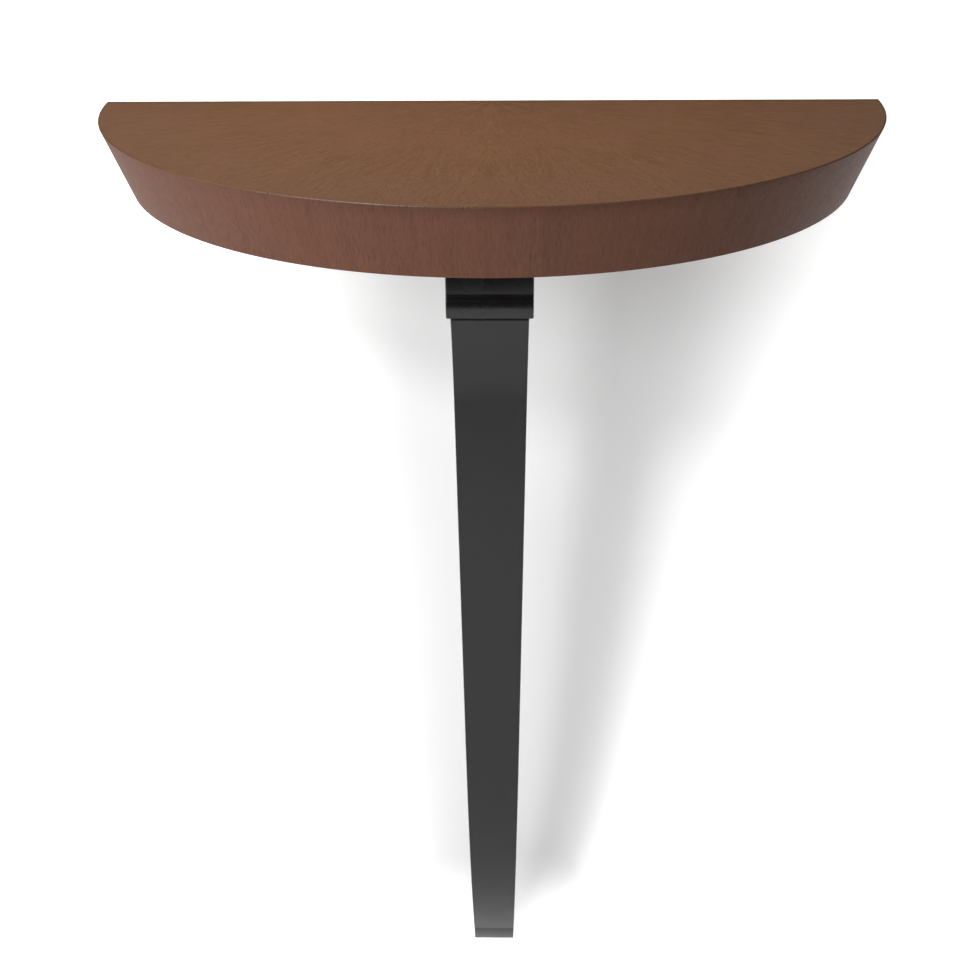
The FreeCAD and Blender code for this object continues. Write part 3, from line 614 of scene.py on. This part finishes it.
flange_end = Vector((cap_low.y + LEG_CORNER_BEHIND + LEG_FLANGE, leg_high.z))
corner_turn = math.pi / 2 + LEG_TOP_LEAN
face_flat = LEG_FLANGE - LEG_CORNER_ROUND * math.tan(corner_turn / 2)
back_flat = LEG_FLANGE - (LEG_INSIDE_ROUND + LEG_THICKNESS) * math.tan(corner_turn / 2)
flare_turn = LEG_MIDDLE_LEAN - LEG_TOP_LEAN
upper_face = walked(flange_end, math.pi, [
    (face_flat, 0, 0, 1),
    (0, LEG_CORNER_ROUND, corner_turn, 10),
    (LEG_NECK + face_flat - back_flat, 0, 0, 1),
    (0, LEG_FLARE_RADIUS, flare_turn, 14),
    (LEG_STRAIGHT, 0, 0, 12)])
straight_end = upper_face[-1][0]


def sweep_to(target, last_lean):
    """The radius and end lean of a sweep that meets a target through the foot bend, at its last lean."""
    back = target.x - straight_end.x - LEG_FOOT_BEND * (math.cos(last_lean) - math.cos(LEG_MIDDLE_LEAN))
    down = straight_end.y - target.y - LEG_FOOT_BEND * (math.sin(LEG_MIDDLE_LEAN) - math.sin(last_lean))
    lean = 2 * math.atan2(back, down) - LEG_MIDDLE_LEAN
    return down / (math.sin(lean) - math.sin(LEG_MIDDLE_LEAN)) - LEG_FOOT_BEND, lean


UPRIGHT = math.pi * 3 / 2
lip_radius = LIP_HEIGHT / (math.sin(LIP_LAST_LEAN) - math.sin(LIP_FIRST_LEAN))
lip_depth = lip_radius * (math.cos(LIP_FIRST_LEAN) - math.cos(LIP_LAST_LEAN))
tongue_top = Vector((leg_high.y - LEG_THICKNESS, leg_low.z + LEG_TONGUE))
lip_top = tongue_top + Vector((-lip_depth, LIP_HEIGHT - LEG_TONGUE))
face_radius, face_lean = sweep_to(lip_top, LIP_FIRST_LEAN)
face = upper_face + walked(straight_end, upper_face[-1][1], [
    (0, face_radius, face_lean - LEG_MIDDLE_LEAN, 30),
    (0, LEG_FOOT_BEND, LIP_FIRST_LEAN - face_lean, 4)])[1:]
lip = walked(*face[-1], [(0, lip_radius, LIP_LAST_LEAN - LIP_FIRST_LEAN, 8)])
face += [(place, UPRIGHT) for place, _ in lip[1:]]
back_radius, back_lean = sweep_to(tongue_top, 0)
back_face = walked(flange_end - Vector((0, LEG_THICKNESS)), math.pi, [
    (back_flat, 0, 0, 1),
    (0, LEG_INSIDE_ROUND, corner_turn, 10),
    (LEG_NECK, 0, 0, 1),
    (0, LEG_FLARE_RADIUS + LEG_THICKNESS, flare_turn, 14),
    (LEG_STRAIGHT, 0, 0, 12),
    (0, back_radius - LEG_THICKNESS, back_lean - LEG_MIDDLE_LEAN, 30),
    (0, LEG_FOOT_BEND + LEG_THICKNESS, -back_lean, 4),
    (LEG_TONGUE, 0, 0, 8)])


def strap_ring(place, behind, heading, back_heading, rounding):
    """One section of the strap with rounded corners, from its face to its back."""
    ring = []
    for corner in range(4):
        right = corner in (0, 1)
        deep = corner in (1, 2)
        at, turned = (behind, back_heading) if deep else (place, heading)
        into = Vector((-math.sin(turned), math.cos(turned)))
        side = -1 if deep else 1
        for step in range(STRAP_CORNER_STEPS + 1):
            angle = -math.pi / 2 + math.pi / 2 * (corner + step / STRAP_CORNER_STEPS)
            point = at + into * (side * rounding + rounding * math.sin(angle))
            half = LEG_TOP_WIDTH / 2 - (leg_high.z - point.y) * (LEG_TOP_WIDTH - LEG_FOOT_WIDTH) / 2 / (
                leg_high.z - leg_low.z)
            reach = half - rounding
            ring.append(((reach if right else -reach) + rounding * math.cos(angle), point.x, point.y))
    return ring


leg_rings = []
for number in range(len(face)):
    place, heading = face[number]
    behind, back_heading = back_face[number]
    leg_rings.append(strap_ring(place, behind, heading, back_heading, LEG_ROUNDING))
leg = skin("leg_strap", leg_rings, powder_coat)
soften(leg, "coated_ends", 0.25 * MM, 50)
fit(leg, "leg_coating", "leg")


# Fixings
# Button-head bolts, threaded inserts and wood screws of zinc-plated steel, as they come from the maker.
# The plating is a bright grey metal, mottled by a spangle 0.8 mm across.
zinc, tree, surface = new_material("bright_zinc_plate")
place = add(tree, "ShaderNodeTexCoord").outputs["Object"]
spangle = add(tree, "ShaderNodeTexNoise", {"Vector": place, "Scale": 1 / (0.8333 * MM), "Detail": 2.0})
rough = add(tree, "ShaderNodeMapRange", {
    "Value": spangle.outputs["Fac"], "To Min": 0.22, "To Max": 0.42})
tree.links.new(rough.outputs[0], surface.inputs["Roughness"])
surface.inputs["Base Color"].default_value = linear("B9BBB8")
surface.inputs["Metallic"].default_value = 1.0
for node in ("leg_bolts", "leg_inserts", "hanging_rail_screws"):
    dress(node, zinc)


# Foot pad
# A strip of matt black rubber glued behind the tongue, so that the foot doesn't mark the wall. Its fine
# grit, 0.7 mm across, takes every highlight off it.
rubber, tree, surface = new_material("matt_black_rubber")
place = add(tree, "ShaderNodeTexCoord").outputs["Object"]
grit = add(tree, "ShaderNodeTexNoise", {"Vector": place, "Scale": 1 / (0.6667 * MM), "Detail": 2.0})
relief = add(tree, "ShaderNodeBump", {
    "Height": grit.outputs["Fac"], "Strength": 0.4, "Distance": 0.05 * MM})
tree.links.new(relief.outputs[0], surface.inputs["Normal"])
surface.inputs["Base Color"].default_value = linear("1C1C1C")
surface.inputs["Roughness"].default_value = 0.85
dress("foot_pad", rubber)


# Wall and floor
# A white painted wall runs down through a small cove into a white floor. Seen directly or in a gloss
# both glow a little, so that they stand out white, and the wall is clear when seen from behind.
FLOOR_Z = leg_low.z - 0.07
COVE = 0.04
COVE_STEPS = 12
SPREAD = 6.0
FLOOR_DEPTH = 1.25
PAINT_WHITENESS = 0.8
BELOW_TOP_Z = -0.10
SHADOW_WIDENS_Z = -0.35
HALFWAY_Z = -0.5
LEG_FOOT_Z = -0.80
SHADOW_FOOT_X = 0.015
white_paint, tree, surface = new_material("white_matt_wall_paint")
tree.nodes.remove(surface)
path = add(tree, "ShaderNodeLightPath")
spot = add(tree, "ShaderNodeSeparateXYZ", {"Vector": add(tree, "ShaderNodeTexCoord").outputs["Object"]})
across = spot.outputs["X"]
to_wall = spot.outputs["Y"]
height = spot.outputs["Z"]

# In a gloss the paint is duller high up on the far left, so that the edge's left end stays brown.
dull_wall = add(tree, "ShaderNodeMapRange", {
    "Value": height, "From Min": HALFWAY_Z, "From Max": BELOW_TOP_Z,
    "To Min": PAINT_WHITENESS, "To Max": 0.3})
left_wall = add(tree, "ShaderNodeMapRange", {
    "Value": across, "From Min": -0.20, "From Max": -0.32,
    "To Min": PAINT_WHITENESS, "To Max": dull_wall.outputs[0]})
whiteness = add(tree, "ShaderNodeMix", {
    "Factor": path.outputs["Is Glossy Ray"], "A": PAINT_WHITENESS, "B": left_wall.outputs[0]})
paint = add(tree, "ShaderNodeBsdfDiffuse", {"Color": whiteness.outputs[0]})

# Seen directly the paint glows evenly, but less in a band that leans to the right and widens upwards,
# where the table's shadow falls. There the glow fades out, so that the shadow has no hard border.
middle = add(tree, "ShaderNodeMapRange", {
    "Value": height, "From Min": LEG_FOOT_Z, "From Max": BELOW_TOP_Z,
    "To Min": SHADOW_FOOT_X, "To Max": 0.07})
reach = add(tree, "ShaderNodeMapRange", {
    "Value": height, "From Min": LEG_FOOT_Z, "From Max": BELOW_TOP_Z, "To Min": 0.09, "To Max": 0.237})
aside = add(tree, "ShaderNodeMath", {0: across, 1: middle.outputs[0]}, operation="SUBTRACT")
on_the_left = add(tree, "ShaderNodeMath", {0: aside.outputs[0], 1: 0.0}, operation="LESS_THAN")
wider = add(tree, "ShaderNodeMapRange", {
    "Value": height, "From Min": SHADOW_WIDENS_Z, "From Max": BELOW_TOP_Z, "To Min": 0.5, "To Max": 0.15})
widening = add(tree, "ShaderNodeMath", {
    0: on_the_left.outputs[0], 1: wider.outputs[0], 2: 1.0}, operation="MULTIPLY_ADD")
reach = add(tree, "ShaderNodeMath", {0: reach.outputs[0], 1: widening.outputs[0]}, operation="MULTIPLY")
share = add(tree, "ShaderNodeMath", {0: aside.outputs[0], 1: reach.outputs[0]}, operation="DIVIDE")
share = add(tree, "ShaderNodeMath", {0: share.outputs[0]}, operation="ABSOLUTE")
beside = add(tree, "ShaderNodeMapRange", {
    "Value": share.outputs[0], "From Min": 0.3, "From Max": 1.2}, interpolation_type="SMOOTHSTEP")
over = add(tree, "ShaderNodeMapRange", {
    "Value": height, "From Min": -0.05, "From Max": 0.04}, interpolation_type="SMOOTHSTEP")
under = add(tree, "ShaderNodeMapRange", {
    "Value": height, "From Min": -0.69, "From Max": -0.81}, interpolation_type="SMOOTHSTEP")
clear_of = add(tree, "ShaderNodeMath", {0: beside.outputs[0], 1: over.outputs[0]}, operation="MAXIMUM")
clear_of = add(tree, "ShaderNodeMath", {0: clear_of.outputs[0], 1: under.outputs[0]}, operation="MAXIMUM")
least = add(tree, "ShaderNodeMapRange", {
    "Value": height, "From Min": SHADOW_WIDENS_Z, "From Max": BELOW_TOP_Z, "To Min": 0.17, "To Max": 0.09})

# Close to the leg, under the top, the glow is raised, which paints the shadow paler.
from_leg = add(tree, "ShaderNodeMath", {0: across, 1: SHADOW_FOOT_X}, operation="SUBTRACT")
from_leg = add(tree, "ShaderNodeMath", {0: from_leg.outputs[0]}, operation="ABSOLUTE")
under_top = add(tree, "ShaderNodeMapRange", {
    "Value": height, "From Min": SHADOW_WIDENS_Z, "From Max": -0.20, "To Max": 0.10})
by_leg = add(tree, "ShaderNodeMapRange", {
    "Value": from_leg.outputs[0], "From Min": 0.09, "From Max": 0.04, "To Max": under_top.outputs[0]})
least = add(tree, "ShaderNodeMath", {0: least.outputs[0], 1: by_leg.outputs[0]}, operation="ADD")
strength = add(tree, "ShaderNodeMapRange", {
    "Value": clear_of.outputs[0], "To Min": least.outputs[0], "To Max": 0.80})
shown = add(tree, "ShaderNodeMath", {
    0: strength.outputs[0], 1: path.outputs["Is Camera Ray"]}, operation="MULTIPLY")

# In a gloss the floor glows, most of all far out, and so do the foot of the wall, more to the left,
# the wall's upper right, and the corner behind the toe. The black parts mirror these as their tones.
far_floor = add(tree, "ShaderNodeMapRange", {
    "Value": to_wall, "From Min": -0.75, "From Max": -1.1, "To Min": 0.24, "To Max": 0.54})
near_floor = add(tree, "ShaderNodeMapRange", {
    "Value": to_wall, "From Min": -0.45, "From Max": -0.18, "To Min": 0.0, "To Max": -0.24})
wall_side = add(tree, "ShaderNodeMapRange", {
    "Value": across, "From Min": -0.35, "From Max": 0.35, "To Min": 0.55, "To Max": 0.05})
foot_of_wall = add(tree, "ShaderNodeMapRange", {
    "Value": height, "From Min": -0.86, "From Max": LEG_FOOT_Z, "To Max": wall_side.outputs[0]})
high_wall = add(tree, "ShaderNodeMapRange", {
    "Value": height, "From Min": HALFWAY_Z, "From Max": BELOW_TOP_Z, "To Max": 0.45})
right_wall = add(tree, "ShaderNodeMapRange", {
    "Value": across, "From Min": 0.20, "From Max": 0.30, "To Max": high_wall.outputs[0]})
low_down = add(tree, "ShaderNodeMapRange", {
    "Value": height, "From Min": -0.70, "From Max": LEG_FOOT_Z, "To Max": 0.24})
corner = add(tree, "ShaderNodeMapRange", {
    "Value": to_wall, "From Min": -0.07, "From Max": -0.02, "To Max": low_down.outputs[0]})
mirror = far_floor.outputs[0]
for part in (near_floor, foot_of_wall, right_wall, corner):
    mirror = add(tree, "ShaderNodeMath", {0: mirror, 1: part.outputs[0]}, operation="ADD").outputs[0]
mirrored = add(tree, "ShaderNodeMath", {
    0: mirror, 1: path.outputs["Is Glossy Ray"]}, operation="MULTIPLY")
glow_strength = add(tree, "ShaderNodeMath", {
    0: shown.outputs[0], 1: mirrored.outputs[0]}, operation="ADD")
glow = add(tree, "ShaderNodeEmission", {"Strength": glow_strength.outputs[0]})
lit = add(tree, "ShaderNodeAddShader", {0: paint.outputs[0], 1: glow.outputs[0]})
clear = add(tree, "ShaderNodeBsdfTransparent")
from_behind = add(tree, "ShaderNodeMath", {
    0: add(tree, "ShaderNodeNewGeometry").outputs["Backfacing"],
    1: path.outputs["Is Camera Ray"]}, operation="MULTIPLY")
mixed = add(tree, "ShaderNodeMixShader", {
    0: from_behind.outputs[0], 1: lit.outputs[0], 2: clear.outputs[0]})
tree.links.new(mixed.outputs[0], tree.nodes["Material Output"].inputs["Surface"])

# Behind the top the wall has a gap of about the top's own shape, so that no wall lies close behind the
# back of the box. The gap is a little smaller than the top, which hides it.
WALL_Y = 0.5 * MM
WALL_TOP = 2.2
GAP_TOP = 0.044
GAP_LOW = -0.005
GAP_TOP_HALF = 0.299
GAP_LOW_HALF = 0.28
wall_line = [(WALL_Y, WALL_TOP), (WALL_Y, GAP_TOP), (WALL_Y, GAP_LOW)]
for step in range(COVE_STEPS + 1):
    turn = math.pi / 2 * step / COVE_STEPS
    wall_line.append((WALL_Y - COVE * (1 - math.cos(turn)), FLOOR_Z + COVE * (1 - math.sin(turn))))
wall_line.append((-FLOOR_DEPTH, FLOOR_Z))
count = len(wall_line)
gap_halves = [GAP_TOP_HALF if z == GAP_TOP else GAP_LOW_HALF for _, z in wall_line]
columns = [[-SPREAD / 2] * count, [-half for half in gap_halves], gap_halves, [SPREAD / 2] * count]
wall_points = [(x, y, z) for column in columns for x, (y, z) in zip(column, wall_line)]
wall_faces = []
for column in range(len(columns) - 1):
    for row in range(count - 1):
        behind_the_top = column == 1 and row == 1
        if not behind_the_top:
            first = column * count + row
            wall_faces.append((first, first + 1, first + count + 1, first + count))
mesh = bpy.data.meshes.new("wall_and_floor")
mesh.from_pydata(wall_points, [], wall_faces)
mesh.shade_smooth()
mesh.materials.append(white_paint)
wall = bpy.data.objects.new("wall_and_floor", mesh)
scene.collection.objects.link(wall)


# Light
# Soft boxes stand on the left in front of the table and over it, in a pale room that fills the rest.
def lamp(name, place, target, wide, tall, power):
    """A soft box of a width and a height, aimed at a target."""
    data = bpy.data.lights.new(name, "AREA")
    data.shape = "RECTANGLE"
    data.size = wide
    data.size_y = tall
    data.energy = power
    made = bpy.data.objects.new(name, data)
    scene.collection.objects.link(made)
    made.location = place
    made.rotation_euler = (Vector(target) - Vector(place)).to_track_quat("-Z", "Y").to_euler()


LEG_MIDDLE = (0, -0.12, -0.35)
TOP_MIDDLE = (0, -0.15, 0.0)
lamp("broad_left_box", (-1.449, -2.052, 0.566), LEG_MIDDLE, 1.4, 1.1, 27.0)
lamp("small_left_box", (-1.061, -1.681, 1.239), LEG_MIDDLE, 0.3, 0.3, 18.0)
lamp("overhead_box", (-0.8, -0.65, 1.35), TOP_MIDDLE, 0.7, 0.7, 10.0)

# The room lights the table evenly and is seen as plain white. In a gloss it is dark but for a window
# far on the left and a weaker one far on the right, which show as sheen on the ends of the edge.
DARK_ROOM = 0.08
world = bpy.data.worlds.new("pale_room")
scene.world = world
world.use_nodes = True
tree = world.node_tree
towards = add(tree, "ShaderNodeSeparateXYZ", {
    "Vector": add(tree, "ShaderNodeTexCoord").outputs["Generated"]})
seen = add(tree, "ShaderNodeLightPath")
room = add(tree, "ShaderNodeMapRange", {
    "Value": towards.outputs["Z"], "From Min": -0.1, "From Max": 0.6, "To Min": 0.6, "To Max": 0.22})
left_window = add(tree, "ShaderNodeMapRange", {
    "Value": towards.outputs["X"], "From Min": -0.6, "From Max": -0.9,
    "To Min": DARK_ROOM, "To Max": 0.9}, interpolation_type="SMOOTHSTEP")
right_window = add(tree, "ShaderNodeMapRange", {
    "Value": towards.outputs["X"], "From Min": 0.6, "From Max": 0.9,
    "To Max": 0.6}, interpolation_type="SMOOTHSTEP")
windows = add(tree, "ShaderNodeMath", {
    0: left_window.outputs[0], 1: right_window.outputs[0]}, operation="ADD")
lit_room = add(tree, "ShaderNodeMix", {
    "Factor": seen.outputs["Is Glossy Ray"], "A": room.outputs[0], "B": windows.outputs[0]})
strength = add(tree, "ShaderNodeMix", {
    "Factor": seen.outputs["Is Camera Ray"], "A": lit_room.outputs[0], "B": 1.0})
background = tree.nodes["Background"]
background.inputs["Color"].default_value = (1.0, 1.0, 1.0, 1.0)
tree.links.new(strength.outputs[0], background.inputs["Strength"])
